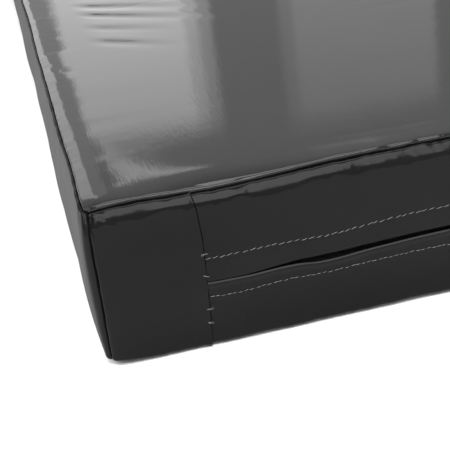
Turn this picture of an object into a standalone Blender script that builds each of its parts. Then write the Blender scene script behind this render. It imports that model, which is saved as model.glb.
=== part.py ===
"""Folding gym mat: two foam sections in black vinyl covers, joined by a hinge strip on top.

Metres, +Z up.  The origin is the centre of the footprint, on the surface the open mat lies on.
X runs across the mat, Y along it, and the fold line is the X axis.  Section A lies on the -Y
side and section B, the same section turned half round about Z, on the +Y side.
"""
import math

import bmesh
import bpy

# ---- driving dimensions -------------------------------------------------------------------
WIDTH = 1.220            # X, 4 ft
LENGTH = 1.830           # Y, 6 ft, both sections open
THICK = 0.100            # Z, 4 in nominal
FOLD_GAP = 0.006         # between the two sections' covers at the fold
VINYL = 0.001            # cover sheet with its scrim and turned edges
GAP = 0.0003             # air between touching pieces

TOP_LAYER = 0.0274       # firm upper foam layer
FOAM_SETBACK = 0.0105    # end wall's outer face to the foam, room for the zip

PATCH_W = 0.063          # plain end pieces that the zip panel is lapped under
ZIP_Z = 0.0443           # middle of the coil
FLAP_TOP = ZIP_Z + 0.0124        # upper stitch row, where the flap starts to be free
FLAP_LOW = ZIP_Z - 0.0014        # the flap's free edge
LOWER_BAND_TOP = ZIP_Z - 0.0032  # lower edge of the slit
ZIP_HALF_GAP = 0.0007    # half the way between the coil rows
COIL_W = 0.0030          # one row of the coil, up the wall
COIL_D = 0.0023          # and into the mat
TAPE_T = 0.0007
COIL_HALF_LEN = 0.540
SLIDER_LEN = 0.014
SLIDER_X = 0.522         # closed position, near the right end
STOP_X0, STOP_X1 = 0.531, 0.536

FOLD_AXIS_Z = THICK + 0.002
STRIP_W = 0.031          # each half of the hinge strip
STRIP_T = 0.001

WEB_T = 0.0013           # webbing
WEB_Z0, WEB_Z1 = 0.0615, 0.0935
ANCHOR_X0, ANCHOR_X1 = 0.062, 0.110
GRIP_OUT = 0.012         # wall to the inner face of the grip
GRIP_HALF = 0.040        # straight part of the grip

END_Y = -LENGTH / 2      # outer end wall of section A
FOLD_Y = -FOLD_GAP / 2   # its wall at the fold
HALF_W = WIDTH / 2

COLOURS = {
    "vinyl": ((0.022, 0.022, 0.023), 0.30, 0.0),
    "vinyl_end": ((0.020, 0.020, 0.021), 0.32, 0.0),
    "foam_base": ((0.55, 0.52, 0.42), 0.90, 0.0),
    "foam_top": ((0.20, 0.22, 0.26), 0.85, 0.0),
    "tape": ((0.015, 0.015, 0.016), 0.85, 0.0),
    "coil": ((0.020, 0.020, 0.021), 0.40, 0.0),
    "metal": ((0.30, 0.30, 0.31), 0.35, 1.0),
    "webbing": ((0.018, 0.018, 0.020), 0.80, 0.0),
}


def clear_scene():
    for o in list(bpy.data.objects):
        bpy.data.objects.remove(o, do_unlink=True)
    for m in list(bpy.data.meshes):
        bpy.data.meshes.remove(m)


def material(name, kind):
    colour, rough, metal = COLOURS[kind]
    mat = bpy.data.materials.new(name)
    mat.use_nodes = True
    b = mat.node_tree.nodes["Principled BSDF"]
    b.inputs["Base Color"].default_value = (*colour, 1.0)
    b.inputs["Roughness"].default_value = rough
    b.inputs["Metallic"].default_value = metal
    return mat


def place(bm, name, kind, sign, origin=(0.0, 0.0, 0.0)):
    """Turn the shape for its section, move its origin to the joint axis and link it."""
    ox, oy, oz = sign * origin[0], sign * origin[1], origin[2]
    for v in bm.verts:
        x, y, z = v.co
        v.co = (sign * x - ox, sign * y - oy, z - oz)
    bmesh.ops.recalc_face_normals(bm, faces=bm.faces)
    if bm.calc_volume(signed=True) < 0:
        bmesh.ops.reverse_faces(bm, faces=bm.faces)
    me = bpy.data.meshes.new(name)
    bm.to_mesh(me)
    bm.free()
    ob = bpy.data.objects.new(name, me)
    ob.location = (ox, oy, oz)
    ob.data.materials.append(material(name + "_mat", kind))
    bpy.context.collection.objects.link(ob)
    return ob


def box(x0, x1, y0, y1, z0, z1):
    """A plain block."""
    bm = bmesh.new()
    bmesh.ops.create_cube(bm, size=1.0)
    for v in bm.verts:
        v.co = (
            x0 if v.co.x < 0 else x1,
            y0 if v.co.y < 0 else y1,
            z0 if v.co.z < 0 else z1,
        )
    return bm


def soften(bm, width, segments=1):
    """Round all the edges of a block."""
    bmesh.ops.bevel(bm, geom=list(bm.edges), offset=width, segments=segments,
                    affect="EDGES", profile=0.5, clamp_overlap=True)
    return bm


def prism_x(points, x0, x1):
    """A (y, z) outline extruded along X."""
    bm = bmesh.new()
    base = [bm.verts.new((x0, y, z)) for y, z in points]
    face = bm.faces.new(base)
    out = bmesh.ops.extrude_face_region(bm, geom=[face])
    for v in [g for g in out["geom"] if isinstance(g, bmesh.types.BMVert)]:
        v.co.x = x1
    return bm


def prism_z(points, z0, z1):
    """An (x, y) outline extruded along Z."""
    bm = bmesh.new()
    base = [bm.verts.new((x, y, z0)) for x, y in points]
    face = bm.faces.new(base)
    out = bmesh.ops.extrude_face_region(bm, geom=[face])
    for v in [g for g in out["geom"] if isinstance(g, bmesh.types.BMVert)]:
        v.co.z = z1
    return bm


def mirror_z(points, mid):
    return [(y, 2 * mid - z) for y, z in reversed(points)]


def handle_outline():
    """The webbing loop seen from above: it leaves the wall, runs out to the grip and back."""
    reach = ANCHOR_X0 - 0.0005
    steps = 7
    xs, ds = [], []
    for i in range(steps + 1):
        t = i / steps
        xs.append(reach + (GRIP_HALF - reach) * t)
        ds.append(GAP + (GRIP_OUT - GAP) * 0.5 * (1 - math.cos(math.pi * t)))
    path = [(x, d) for x, d in zip(xs, ds)]
    path += [(-x, d) for x, d in reversed(path)]
    inner, outer = [], []
    for i, (x, d) in enumerate(path):
        xa, da = path[max(i - 1, 0)]
        xb, db = path[min(i + 1, len(path) - 1)]
        tx, td = xb - xa, db - da
        n = math.hypot(tx, td)
        if i in (0, len(path) - 1):
            tx, td, n = -1.0, 0.0, 1.0
        inner.append((x, END_Y - d))
        outer.append((x + WEB_T * td / n, END_Y - d - WEB_T * (-tx) / n))
    return inner + outer[::-1]


def build_section(tag, s):
    """All the pieces of one section; s is 1 for section A and -1 for section B."""

    def name(base):
        return base + "_" + tag

    end_in = END_Y + VINYL
    inner_x = HALF_W - VINYL
    z_lo, z_hi = VINYL + GAP, THICK - VINYL - GAP
    side_x = inner_x - GAP

    # foam core: a soft base with a firmer layer on top
    fy0, fy1 = END_Y + FOAM_SETBACK, FOLD_Y - VINYL - GAP
    split = THICK - TOP_LAYER - VINYL - GAP
    place(box(-side_x, side_x, fy0, fy1, z_lo, split), name("foam_base"), "foam_base", s)
    place(box(-side_x, side_x, fy0, fy1, split + GAP, z_hi), name("foam_top"), "foam_top", s)

    # cover panels
    place(box(-HALF_W, HALF_W, END_Y, FOLD_Y, THICK - VINYL, THICK), name("top_panel"), "vinyl", s)
    place(box(-HALF_W, HALF_W, END_Y, FOLD_Y, 0.0, VINYL), name("bottom_panel"), "vinyl", s)
    place(box(-HALF_W, -inner_x, END_Y, FOLD_Y, z_lo, z_hi), name("side_wall_left"), "vinyl", s)
    place(box(inner_x, HALF_W, END_Y, FOLD_Y, z_lo, z_hi), name("side_wall_right"), "vinyl", s)
    place(box(-side_x, side_x, FOLD_Y - VINYL, FOLD_Y, z_lo, z_hi), name("hinge_wall"), "vinyl", s)

    # outer end wall: two plain ends with the zip panel between them
    ex = HALF_W - PATCH_W
    place(box(-side_x, -ex, END_Y, end_in, z_lo, z_hi), name("end_piece_left"), "vinyl_end", s)
    place(box(ex, side_x, END_Y, end_in, z_lo, z_hi), name("end_piece_right"), "vinyl_end", s)
    bx = ex - GAP
    place(box(-bx, bx, END_Y, end_in, FLAP_TOP + GAP, z_hi), name("zip_band_upper"), "vinyl_end", s)
    place(box(-bx, bx, END_Y, end_in, z_lo, LOWER_BAND_TOP), name("zip_band_lower"), "vinyl_end", s)
    place(box(-bx, bx, END_Y, end_in, FLAP_LOW, FLAP_TOP), name("zip_flap"), "vinyl_end", s,
          origin=(0.0, END_Y, FLAP_TOP))

    # zip: each tape is sewn to the wall at its outer margin and steps inwards to the coil
    m0 = end_in + GAP                      # margin's outer face
    f0 = END_Y + 0.0067                    # coil edge's outer face
    tape = [
        (m0, ZIP_Z + 0.0160), (m0, ZIP_Z + 0.0105), (f0, ZIP_Z + 0.0070),
        (f0, ZIP_Z + ZIP_HALF_GAP), (f0 + TAPE_T, ZIP_Z + ZIP_HALF_GAP),
        (f0 + TAPE_T, ZIP_Z + 0.0073), (m0 + TAPE_T, ZIP_Z + 0.0108), (m0 + TAPE_T, ZIP_Z + 0.0160),
    ]
    tx = COIL_HALF_LEN + 0.005
    place(prism_x(tape, -tx, tx), name("zip_tape_upper"), "tape", s)
    place(prism_x(mirror_z(tape, ZIP_Z), -tx, tx), name("zip_tape_lower"), "tape", s)

    c1 = f0 - GAP                          # coil sits on the outer face of its tape
    c0 = c1 - COIL_D
    zc0, zc1 = ZIP_Z + ZIP_HALF_GAP, ZIP_Z + ZIP_HALF_GAP + COIL_W
    ch = 0.0007
    coil = [(c0 + ch, zc0), (c0, zc0 + ch), (c0, zc1 - ch), (c0 + ch, zc1),
            (c1, zc1), (c1, zc0)]
    place(prism_x(coil, -COIL_HALF_LEN, COIL_HALF_LEN), name("zip_coil_upper"), "coil", s)
    place(prism_x(mirror_z(coil, ZIP_Z), -COIL_HALF_LEN, COIL_HALF_LEN),
          name("zip_coil_lower"), "coil", s)

    # stops at the ends of the coil
    p1 = c0 - GAP                          # inner face of the slider's outer plate
    p0 = p1 - 0.0016
    for base, a, b in (("zip_top_stop", STOP_X0, STOP_X1), ("zip_bottom_stop", -STOP_X1, -STOP_X0)):
        place(soften(box(a, b, p0 + 0.0004, p1, ZIP_Z - 0.0034, ZIP_Z + 0.0034), 0.0004),
              name(base), "metal", s)

    # slider: outer plate with two lips over the coil, a web between the rows, an inner plate
    hz = 0.0055
    lip = 0.0015
    q0 = f0 + TAPE_T + GAP                 # inner plate's outer face
    q1 = q0 + 0.0016
    w = 0.0004
    slider = [
        (p0, ZIP_Z - hz + 0.0008), (p0 + 0.0008, ZIP_Z - hz), (f0 - GAP, ZIP_Z - hz),
        (f0 - GAP, ZIP_Z - hz + lip), (p1, ZIP_Z - hz + lip), (p1, ZIP_Z - w),
        (q0, ZIP_Z - w), (q0, ZIP_Z - hz), (q1 - 0.0006, ZIP_Z - hz), (q1, ZIP_Z - hz + 0.0006),
        (q1, ZIP_Z + hz - 0.0006), (q1 - 0.0006, ZIP_Z + hz), (q0, ZIP_Z + hz), (q0, ZIP_Z + w),
        (p1, ZIP_Z + w), (p1, ZIP_Z + hz - lip), (f0 - GAP, ZIP_Z + hz - lip),
        (f0 - GAP, ZIP_Z + hz), (p0 + 0.0008, ZIP_Z + hz), (p0, ZIP_Z + hz - 0.0008),
    ]
    place(prism_x(slider, SLIDER_X - SLIDER_LEN / 2, SLIDER_X + SLIDER_LEN / 2),
          name("zip_slider"), "metal", s, origin=(SLIDER_X, p0, ZIP_Z))

    # link: a thin tongue that passes out through the slit and carries a cross pin
    pin_y, pin_z = END_Y - 0.0026, ZIP_Z - 0.0032
    tongue_z0, tongue_z1 = ZIP_Z - 0.0027, ZIP_Z - 0.0019
    lx0, lx1 = SLIDER_X - 0.0019, SLIDER_X + 0.0019
    r = 0.0007
    link = [(p0 - GAP, tongue_z0), (p0 - GAP, tongue_z1)]
    link += [(pin_y, tongue_z1)]
    link += [(pin_y - r * math.sin(a), pin_z + r * math.cos(a) + 0.0006 * (1 - a / math.pi))
             for a in [math.pi * k / 6 for k in range(1, 6)]]
    link += [(pin_y, pin_z - r), (pin_y + r, pin_z), (pin_y + r, tongue_z0)]
    place(prism_x(link, lx0, lx1), name("zip_pull_link"), "metal", s,
          origin=(SLIDER_X, pin_y, pin_z))

    # pull tab: a plate with two ears beside the link's pin
    tw = 0.0042
    ear_in = 0.0019 + GAP
    ty0, ty1 = pin_y - 0.00075, pin_y + 0.00075
    tz0, tz1, tz2 = pin_z - 0.0298, pin_z - 0.0010, pin_z + 0.0007
    tab = [(-tw, tz0), (tw, tz0), (tw, tz2), (ear_in, tz2), (ear_in, tz1),
           (-ear_in, tz1), (-ear_in, tz2), (-tw, tz2)]
    bm = bmesh.new()
    base_verts = [bm.verts.new((SLIDER_X + x, ty0, z)) for x, z in tab]
    face = bm.faces.new(base_verts)
    out = bmesh.ops.extrude_face_region(bm, geom=[face])
    for v in [g for g in out["geom"] if isinstance(g, bmesh.types.BMVert)]:
        v.co.y = ty1
    place(bm, name("zip_pull"), "metal", s, origin=(SLIDER_X, pin_y, pin_z))

    # carry handle: a webbing loop between two sewn-down ends
    for base, a, b in (("handle_anchor_left", -ANCHOR_X1, -ANCHOR_X0),
                       ("handle_anchor_right", ANCHOR_X0, ANCHOR_X1)):
        place(box(a, b, END_Y - GAP - WEB_T, END_Y - GAP, WEB_Z0, WEB_Z1), name(base), "webbing", s)
    place(prism_z(handle_outline(), WEB_Z0, WEB_Z1), name("handle_loop"), "webbing", s,
          origin=(0.0, END_Y, 0.5 * (WEB_Z0 + WEB_Z1)))

    # this section's half of the hinge strip, sewn on top along the fold
    place(box(-side_x, side_x, -STRIP_W, -GAP / 2, THICK + GAP, THICK + GAP + STRIP_T),
          name("hinge_strip"), "vinyl", s)


def main():
    clear_scene()
    build_section("a", 1)
    build_section("b", -1)

    # section B swings on the fold line: everything of it hangs on one empty there
    pivot = bpy.data.objects.new("fold_line", None)
    pivot.location = (0.0, 0.0, FOLD_AXIS_Z)
    bpy.context.collection.objects.link(pivot)
    bpy.context.view_layer.update()
    for o in list(bpy.data.objects):
        if o.name.endswith("_b"):
            o.parent = pivot
            o.matrix_parent_inverse = pivot.matrix_world.inverted()


main()
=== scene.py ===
import math

import bmesh
import bpy
import numpy as np
from mathutils import Matrix, Vector


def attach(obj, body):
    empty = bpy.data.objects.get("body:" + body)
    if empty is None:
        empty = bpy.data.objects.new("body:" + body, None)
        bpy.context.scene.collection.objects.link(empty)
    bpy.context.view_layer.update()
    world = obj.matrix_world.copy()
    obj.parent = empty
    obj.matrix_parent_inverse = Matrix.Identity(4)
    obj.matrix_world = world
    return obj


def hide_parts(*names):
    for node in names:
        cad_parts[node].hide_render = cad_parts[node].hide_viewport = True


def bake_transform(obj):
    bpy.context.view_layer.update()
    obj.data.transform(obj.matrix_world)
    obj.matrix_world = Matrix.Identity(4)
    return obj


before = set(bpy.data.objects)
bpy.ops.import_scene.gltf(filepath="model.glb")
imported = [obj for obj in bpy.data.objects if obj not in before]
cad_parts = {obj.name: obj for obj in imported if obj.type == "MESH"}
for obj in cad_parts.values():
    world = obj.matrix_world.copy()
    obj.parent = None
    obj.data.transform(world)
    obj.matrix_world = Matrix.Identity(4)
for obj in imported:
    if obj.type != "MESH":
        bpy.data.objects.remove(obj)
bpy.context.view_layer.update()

# ------------------------------------------------------------------ sizes, metres
H = 0.100
HX = 0.610                      # half width
Y0, Y1 = -0.915, -0.003         # section A: outer end wall, fold wall
YC, HY = (Y0 + Y1) / 2, (Y1 - Y0) / 2
HZ = H / 2
R = 0.0070                      # rounding of the upright corners
RB = 0.0034                     # and along the floor
IX, IY, IB = 0.0006, 0.0054, 0.0010     # how far the top seams stand in: side, outer end, fold
PATCH = 0.0634                  # plain end pieces
ZIP_Z = 0.0443
ROW_UP = 0.0567                 # upper stitch row
ROW_LOW = 0.0321                # lower stitch row
SLIDER_X = 0.522

# ------------------------------------------------------------------ camera first
cam = bpy.data.objects.new("camera", bpy.data.cameras.new("camera"))
bpy.context.scene.collection.objects.link(cam)
cam.data.sensor_width = 36.0
cam.data.lens = 87.52
cam.data.clip_start = 0.01
cam.data.clip_end = 50.0
row_x = Vector((0.968, -0.2161, -0.1275)).normalized()
row_z = -Vector((0.1516, 0.9085, -0.3895))
row_z = (row_z - row_x * row_z.dot(row_x)).normalized()
row_y = row_z.cross(row_x).normalized()
cam.matrix_world = Matrix((
    (row_x[0], row_y[0], row_z[0], -0.62491),
    (row_x[1], row_y[1], row_z[1], -1.48612),
    (row_x[2], row_y[2], row_z[2], 0.32076),
    (0.0, 0.0, 0.0, 1.0),
))
bpy.context.scene.camera = cam


# ------------------------------------------------------------------ noise
def _hash(ix, iy, iz, seed):
    h = (ix.astype(np.int64) * 374761393 + iy.astype(np.int64) * 668265263
         + iz.astype(np.int64) * 1442695041 + seed * 1274126177) & 0xFFFFFFFF
    h = ((h ^ (h >> 13)) * 1274126177) & 0xFFFFFFFF
    h = ((h ^ (h >> 15)) * 2246822519) & 0xFFFFFFFF
    h = h ^ (h >> 16)
    return (h & 0xFFFF) / 32767.5 - 1.0


def _fade(t):
    return t * t * t * (t * (t * 6 - 15) + 10)


def noise(x, y=None, z=None, seed=0):
    """Smooth value noise from -1 to 1, one cell per unit."""
    x = np.asarray(x, float)
    y = np.zeros_like(x) if y is None else np.broadcast_to(np.asarray(y, float), x.shape)
    z = np.zeros_like(x) if z is None else np.broadcast_to(np.asarray(z, float), x.shape)
    ix, iy, iz = np.floor(x), np.floor(y), np.floor(z)
    fx, fy, fz = _fade(x - ix), _fade(y - iy), _fade(z - iz)
    out = 0.0
    flat_z = not np.any(z)
    for dz in (0, 1):
        if flat_z and dz:
            continue
        wz = 1.0 if flat_z else (fz if dz else 1 - fz)
        for dy in (0, 1):
            wy = fy if dy else 1 - fy
            for dx in (0, 1):
                wx = fx if dx else 1 - fx
                out = out + _hash(ix + dx, iy + dy, iz + dz, seed) * wx * wy * wz
    return out


def fbm(x, y=None, z=None, seed=0, octaves=3):
    total, amp, norm, f = 0.0, 1.0, 0.0, 1.0
    for k in range(octaves):
        total = total + amp * noise(np.asarray(x) * f, None if y is None else np.asarray(y) * f,
                                    None if z is None else np.asarray(z) * f, seed + 17 * k)
        norm += amp
        amp *= 0.5
        f *= 2.03
    return total / norm


def smooth(e0, e1, x):
    t = np.clip((np.asarray(x, float) - e0) / (e1 - e0), 0, 1)
    return t * t * (3 - 2 * t)


def graded(a, b, spacing):
    """Positions from a to b whose spacing follows a function of place."""
    t = np.linspace(a, b, 20001)
    c = np.concatenate(([0.0], np.cumsum((t[1] - t[0]) / spacing((t[1:] + t[:-1]) / 2))))
    n = max(2, int(round(c[-1])))
    return np.interp(np.linspace(0, c[-1], n + 1), c, t)


# ------------------------------------------------------------------ mesh helpers
def grid_faces(nu, nv, flip=False, offset=0):
    i = np.arange(nu - 1)[:, None]
    j = np.arange(nv - 1)[None, :]
    a = (i * nv + j).ravel() + offset
    quads = np.stack((a, a + nv, a + nv + 1, a + 1), axis=1)
    return quads[:, ::-1] if flip else quads


def raw_mesh(name, verts, faces, sharp=None):
    me = bpy.data.meshes.new(name)
    faces = [np.asarray(f) for f in (faces if isinstance(faces, list) else [faces])]
    faces = [f for f in faces if len(f)]
    loops = np.concatenate([f.ravel() for f in faces]).astype(np.int32)
    sizes = np.concatenate([np.full(len(f), f.shape[1]) for f in faces]).astype(np.int32)
    starts = np.concatenate(([0], np.cumsum(sizes)[:-1])).astype(np.int32)
    me.vertices.add(len(verts))
    me.vertices.foreach_set("co", np.asarray(verts, np.float32).ravel())
    me.loops.add(len(loops))
    me.loops.foreach_set("vertex_index", loops)
    me.polygons.add(len(sizes))
    me.polygons.foreach_set("loop_start", starts)
    me.polygons.foreach_set("loop_total", sizes)
    me.update(calc_edges=True)
    me.validate()
    me.shade_smooth()
    if sharp is not None:
        me.set_sharp_from_angle(angle=math.radians(sharp))
    return me


def add(name, verts, faces, mat, sharp=None):
    me = raw_mesh(name, verts, faces, sharp)
    me.materials.append(mat)
    ob = bpy.data.objects.new(name, me)
    bpy.context.scene.collection.objects.link(ob)
    return ob


def turned(verts, sign):
    v = np.array(verts, float)
    v[:, 0] *= sign
    v[:, 1] *= sign
    return v


def both(base, verts, faces, mat, sharp=None):
    """The piece for section A and, turned half round, for section B."""
    return [add(base + tag, turned(verts, s), faces, mat, sharp) for tag, s in (("_a", 1), ("_b", -1))]


class Heap:
    """Collects many small shapes into one mesh."""

    def __init__(self):
        self.v, self.f, self.n = [], {}, 0

    def put(self, verts, faces):
        verts = np.asarray(verts, float)
        for f in (faces if isinstance(faces, list) else [faces]):
            f = np.asarray(f)
            if len(f):
                self.f.setdefault(f.shape[1], []).append(f + self.n)
        self.v.append(verts)
        self.n += len(verts)

    def arrays(self):
        return np.concatenate(self.v), [np.concatenate(f) for f in self.f.values()]


def tube(path, radius, sides=8, normal=(0, 0, 1), flat=1.0, closed_ends=True):
    """A round tube along points, its ends tapered shut."""
    path = np.asarray(path, float)
    n = len(path)
    tang = np.gradient(path, axis=0)
    tang /= np.linalg.norm(tang, axis=1)[:, None] + 1e-12
    up = np.broadcast_to(np.asarray(normal, float), path.shape)
    side = np.cross(tang, up)
    side /= np.linalg.norm(side, axis=1)[:, None] + 1e-12
    up = np.cross(side, tang)
    rad = np.broadcast_to(np.asarray(radius, float), (n,))
    ang = np.linspace(0, 2 * math.pi, sides, endpoint=False)
    ring = (side[:, None, :] * np.cos(ang)[None, :, None]
            + up[:, None, :] * np.sin(ang)[None, :, None] * flat)
    verts = (path[:, None, :] + ring * rad[:, None, None]).reshape(-1, 3)
    i = np.arange(n - 1)[:, None] * sides
    j = np.arange(sides)[None, :]
    a = (i + j).ravel()
    b = (i + (j + 1) % sides).ravel()
    quads = np.stack((a, a + sides, b + sides, b), axis=1)[:, ::-1]
    faces = [quads]
    if closed_ends:
        faces.append(np.array([list(range(sides))[::-1]]) if False else np.arange(sides)[None, :])
        faces.append(((n - 1) * sides + np.arange(sides))[::-1][None, :])
    return verts, faces


# ------------------------------------------------------------------ materials
def new_mat(name):
    m = bpy.data.materials.new(name)
    m.use_nodes = True
    nt = m.node_tree
    return m, nt, nt.nodes["Principled BSDF"]


def node(nt, kind, **vals):
    n = nt.nodes.new(kind)
    for k, v in vals.items():
        if k in n.inputs:
            n.inputs[k].default_value = v
        else:
            setattr(n, k, v)
    return n


def coords(nt, scale=(1, 1, 1), rot=(0, 0, 0)):
    tc = nt.nodes.new("ShaderNodeTexCoord")
    mp = nt.nodes.new("ShaderNodeMapping")
    mp.inputs["Scale"].default_value = scale
    mp.inputs["Rotation"].default_value = rot
    nt.links.new(tc.outputs["Object"], mp.inputs["Vector"])
    return mp


def ramp(nt, fac, stops):
    r = nt.nodes.new("ShaderNodeValToRGB")
    el = r.color_ramp.elements
    while len(el) < len(stops):
        el.new(0.5)
    for e, (pos, col) in zip(el, stops):
        e.position = pos
        e.color = (col, col, col, 1) if isinstance(col, (int, float)) else (*col, 1)
    nt.links.new(fac, r.inputs["Fac"])
    return r


def math_node(nt, op, a, b=None):
    n = nt.nodes.new("ShaderNodeMath")
    n.operation = op
    for i, v in enumerate((a, b)):
        if v is None:
            continue
        if isinstance(v, (int, float)):
            n.inputs[i].default_value = v
        else:
            nt.links.new(v, n.inputs[i])
    return n.outputs[0]


def vinyl(name, across="XY", base=0.008, rough=0.09, weave=0.0000035, level=0.30, coat=0.0, grime=1.0, ripple=0.0, mid_bump=0.00002, patchy=0.18):
    """PVC-coated cloth: a smooth dark skin, the scrim showing faintly through it, dust and wear."""
    m, nt, b = new_mat(name)
    L = nt.links
    b.inputs["IOR"].default_value = 1.5
    b.inputs["Specular IOR Level"].default_value = level
    b.inputs["Coat Weight"].default_value = coat
    b.inputs["Coat Roughness"].default_value = 0.22
    # colour: nearly uniform, a little greyer where handled, with rare dust specks
    big = node(nt, "ShaderNodeTexNoise", Scale=9.0, Detail=4.0, Roughness=0.6)
    L.new(coords(nt).outputs[0], big.inputs["Vector"])
    tone = ramp(nt, big.outputs["Fac"], [(0.3, (base * (1 - patchy),) * 3),
                                         (0.7, (base * (1 + patchy),) * 3)])
    dust = node(nt, "ShaderNodeTexVoronoi", Scale=26.0, Randomness=1.0)
    L.new(coords(nt).outputs[0], dust.inputs["Vector"])
    speck = ramp(nt, dust.outputs["Distance"], [(0.0, 1.0), (0.012, 0.8), (0.018, 0.0)])
    pick = ramp(nt, dust.outputs["Color"], [(0.62, 0.0), (0.66, 1.0)])
    both_ = math_node(nt, "MULTIPLY", speck.outputs["Color"], pick.outputs["Color"])
    mix = nt.nodes.new("ShaderNodeMix")
    mix.data_type = "RGBA"
    L.new(math_node(nt, "MULTIPLY", both_, 0.5 * grime), mix.inputs["Factor"])
    L.new(tone.outputs["Color"], mix.inputs[6])
    mix.inputs[7].default_value = (0.45, 0.44, 0.42, 1)
    L.new(mix.outputs[2], b.inputs["Base Color"])
    # roughness: smears and handling marks
    smear = node(nt, "ShaderNodeTexNoise", Scale=1.0, Detail=6.0, Roughness=0.62)
    L.new(coords(nt, (22, 7, 16)).outputs[0], smear.inputs["Vector"])
    rr = ramp(nt, smear.outputs["Fac"], [(0.25, rough - 0.02), (0.5, rough), (0.78, rough + 0.04)])
    L.new(rr.outputs["Color"], b.inputs["Roughness"])
    # bump: the scrim's threads and a fine skin
    waves = []
    for direction in across:
        w = node(nt, "ShaderNodeTexWave", Scale=157.0, Distortion=0.0)
        w.bands_direction = direction
        L.new(coords(nt).outputs[0], w.inputs["Vector"])
        waves.append(w.outputs["Fac"])
    s2 = math_node(nt, "ADD", waves[0], waves[1])
    fine = node(nt, "ShaderNodeTexNoise", Scale=900.0, Detail=2.0)
    L.new(coords(nt).outputs[0], fine.inputs["Vector"])
    mid = node(nt, "ShaderNodeTexNoise", Scale=60.0, Detail=3.0)
    L.new(coords(nt).outputs[0], mid.inputs["Vector"])
    h = math_node(nt, "MULTIPLY", s2, weave)
    h = math_node(nt, "ADD", h, math_node(nt, "MULTIPLY", fine.outputs["Fac"], 0.0000015))
    h = math_node(nt, "ADD", h, math_node(nt, "MULTIPLY", mid.outputs["Fac"], mid_bump))
    if ripple:
        rp = node(nt, "ShaderNodeTexNoise", Scale=1.0, Detail=2.0)
        L.new(coords(nt, (480, 60, 60)).outputs[0], rp.inputs["Vector"])
        h = math_node(nt, "ADD", h, math_node(nt, "MULTIPLY", rp.outputs["Fac"], ripple))
    bump = node(nt, "ShaderNodeBump", Strength=1.0, Distance=1.0)
    L.new(h, bump.inputs["Height"])
    L.new(bump.outputs["Normal"], b.inputs["Normal"])
    return m


def webbing(name, base=0.013, pitch=0.0024, axis="X"):
    """Woven nylon strap: ribs across it and a bias in each."""
    m, nt, b = new_mat(name)
    L = nt.links
    b.inputs["Roughness"].default_value = 0.62
    b.inputs["Specular IOR Level"].default_value = 0.35
    b.inputs["Sheen Weight"].default_value = 0.25
    b.inputs["Sheen Roughness"].default_value = 0.4
    s = 0.95 / pitch / 6.2832 * 2
    w1 = node(nt, "ShaderNodeTexWave", Scale=s, Distortion=0.4, Detail=1.0)
    w1.bands_direction = "DIAGONAL"
    c1 = coords(nt, (1, 1, 1))
    L.new(c1.outputs[0], w1.inputs["Vector"])
    w2 = node(nt, "ShaderNodeTexWave", Scale=s, Distortion=0.4, Detail=1.0)
    w2.bands_direction = "DIAGONAL"
    c2 = coords(nt, (1, 1, -1))
    L.new(c2.outputs[0], w2.inputs["Vector"])
    hh = math_node(nt, "MAXIMUM", w1.outputs["Fac"], w2.outputs["Fac"])
    fine = node(nt, "ShaderNodeTexNoise", Scale=1500.0, Detail=2.0)
    L.new(coords(nt).outputs[0], fine.inputs["Vector"])
    tot = math_node(nt, "ADD", math_node(nt, "MULTIPLY", hh, 0.00022),
                    math_node(nt, "MULTIPLY", fine.outputs["Fac"], 0.00008))
    bump = node(nt, "ShaderNodeBump", Strength=1.0, Distance=1.0)
    L.new(tot, bump.inputs["Height"])
    L.new(bump.outputs["Normal"], b.inputs["Normal"])
    # colour follows the weave's height: painted shade in the valleys between the ribs, lighter on the ribs
    col = ramp(nt, hh, [(0.1, (base * 0.45,) * 3), (0.8, (base * 1.5, base * 1.5, base * 1.55))])
    L.new(col.outputs["Color"], b.inputs["Base Color"])
    return m


def thread(name, base=0.17):
    m, nt, b = new_mat(name)
    L = nt.links
    b.inputs["Roughness"].default_value = 0.5
    b.inputs["Specular IOR Level"].default_value = 0.4
    n = node(nt, "ShaderNodeTexNoise", Scale=420.0, Detail=2.0)
    L.new(coords(nt).outputs[0], n.inputs["Vector"])
    c = ramp(nt, n.outputs["Fac"], [(0.3, (base * 0.6,) * 3), (0.7, (base * 1.25, base * 1.25, base * 1.2))])
    L.new(c.outputs["Color"], b.inputs["Base Color"])
    w = node(nt, "ShaderNodeTexWave", Scale=700.0, Distortion=0.0)
    w.bands_direction = "DIAGONAL"
    L.new(coords(nt).outputs[0], w.inputs["Vector"])
    bump = node(nt, "ShaderNodeBump", Strength=1.0, Distance=0.00008)
    L.new(w.outputs["Fac"], bump.inputs["Height"])
    L.new(bump.outputs["Normal"], b.inputs["Normal"])
    return m


def metal(name, base=(0.30, 0.30, 0.31), rough=0.3):
    m, nt, b = new_mat(name)
    L = nt.links
    b.inputs["Metallic"].default_value = 1.0
    n = node(nt, "ShaderNodeTexNoise", Scale=300.0, Detail=4.0)
    L.new(coords(nt, (1, 1, 6)).outputs[0], n.inputs["Vector"])
    r = ramp(nt, n.outputs["Fac"], [(0.3, rough - 0.08), (0.7, rough + 0.12)])
    L.new(r.outputs["Color"], b.inputs["Roughness"])
    wear = node(nt, "ShaderNodeTexNoise", Scale=120.0, Detail=5.0)
    L.new(coords(nt).outputs[0], wear.inputs["Vector"])
    c = ramp(nt, wear.outputs["Fac"], [(0.35, tuple(v * 0.75 for v in base)), (0.7, tuple(v * 1.25 for v in base))])
    L.new(c.outputs["Color"], b.inputs["Base Color"])
    bump = node(nt, "ShaderNodeBump", Strength=0.3, Distance=0.00005)
    L.new(n.outputs["Fac"], bump.inputs["Height"])
    L.new(bump.outputs["Normal"], b.inputs["Normal"])
    return m


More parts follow.
